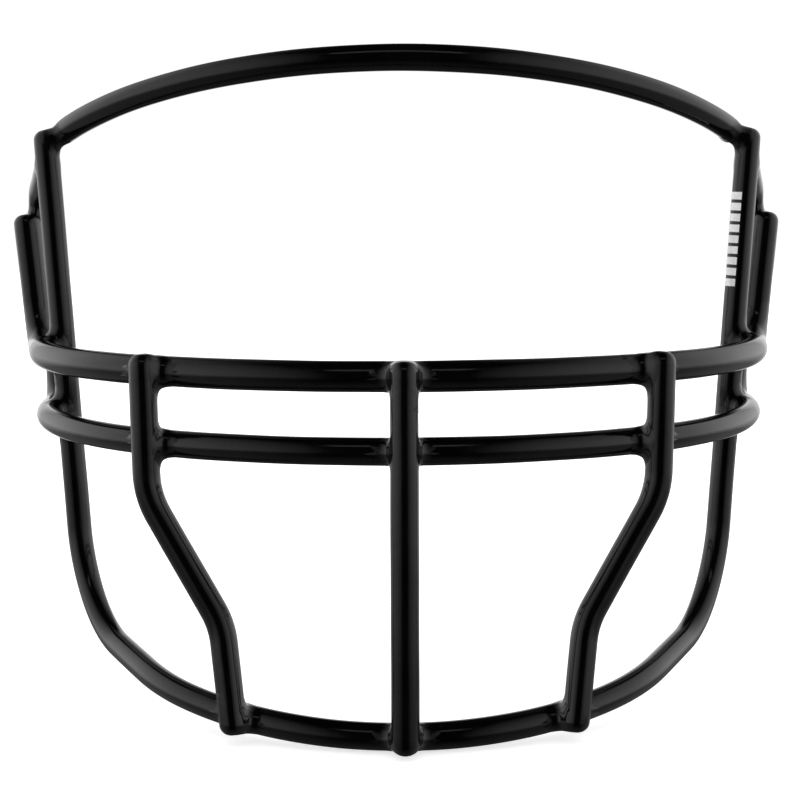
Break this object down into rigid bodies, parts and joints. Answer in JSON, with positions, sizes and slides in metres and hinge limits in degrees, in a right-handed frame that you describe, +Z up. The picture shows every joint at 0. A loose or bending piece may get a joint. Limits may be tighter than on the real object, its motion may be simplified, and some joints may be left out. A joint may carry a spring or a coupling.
{
  "type": "football helmet face guard",
  "caption": "Face guard of an American football helmet: bent steel wires welded into an open cage with brow arch, crossbars, side loops and uprights, in a glossy black coating.",
  "frame": {"origin": "centre of the guard's bounding box, on its mirror plane", "axes": "+X to the wearer's left, +Y from the guard's front towards the wearer's face, +Z up to the brow"},
  "size_m": [0.2378, 0.1309, 0.1791],
  "materials": {
    "steel_wire": "drawn, bent and cut; sealed under the coating",
    "black_coating": "glossy dip coating with a very slight orange peel",
    "coated_weld": "weld metal under the same glossy black coating",
    "white_marking": "thin printed marking, slightly worn"
  },
  "bodies": {
    "root": {"brow_arch_wire": "steel_wire", "frame_wire": "steel_wire", "upper_crossbar_wire": "steel_wire", "lower_crossbar_wire": "steel_wire", "centre_upright_wire": "steel_wire", "left_upright_wire": "steel_wire", "right_upright_wire": "steel_wire", "brow_arch_coating": "black_coating", "frame_coating": "black_coating", "upper_crossbar_coating": "black_coating", "lower_crossbar_coating": "black_coating", "centre_upright_coating": "black_coating", "left_upright_coating": "black_coating", "right_upright_coating": "black_coating", "temple_welds": "coated_weld", "loop_welds": "coated_weld", "clip_bar_welds": "coated_weld", "upper_side_welds": "coated_weld", "lower_side_welds": "coated_weld", "upper_front_welds": "coated_weld", "lower_front_welds": "coated_weld", "chin_welds": "coated_weld", "marking_stripe": "white_marking"}
  },
  "joints": []
}
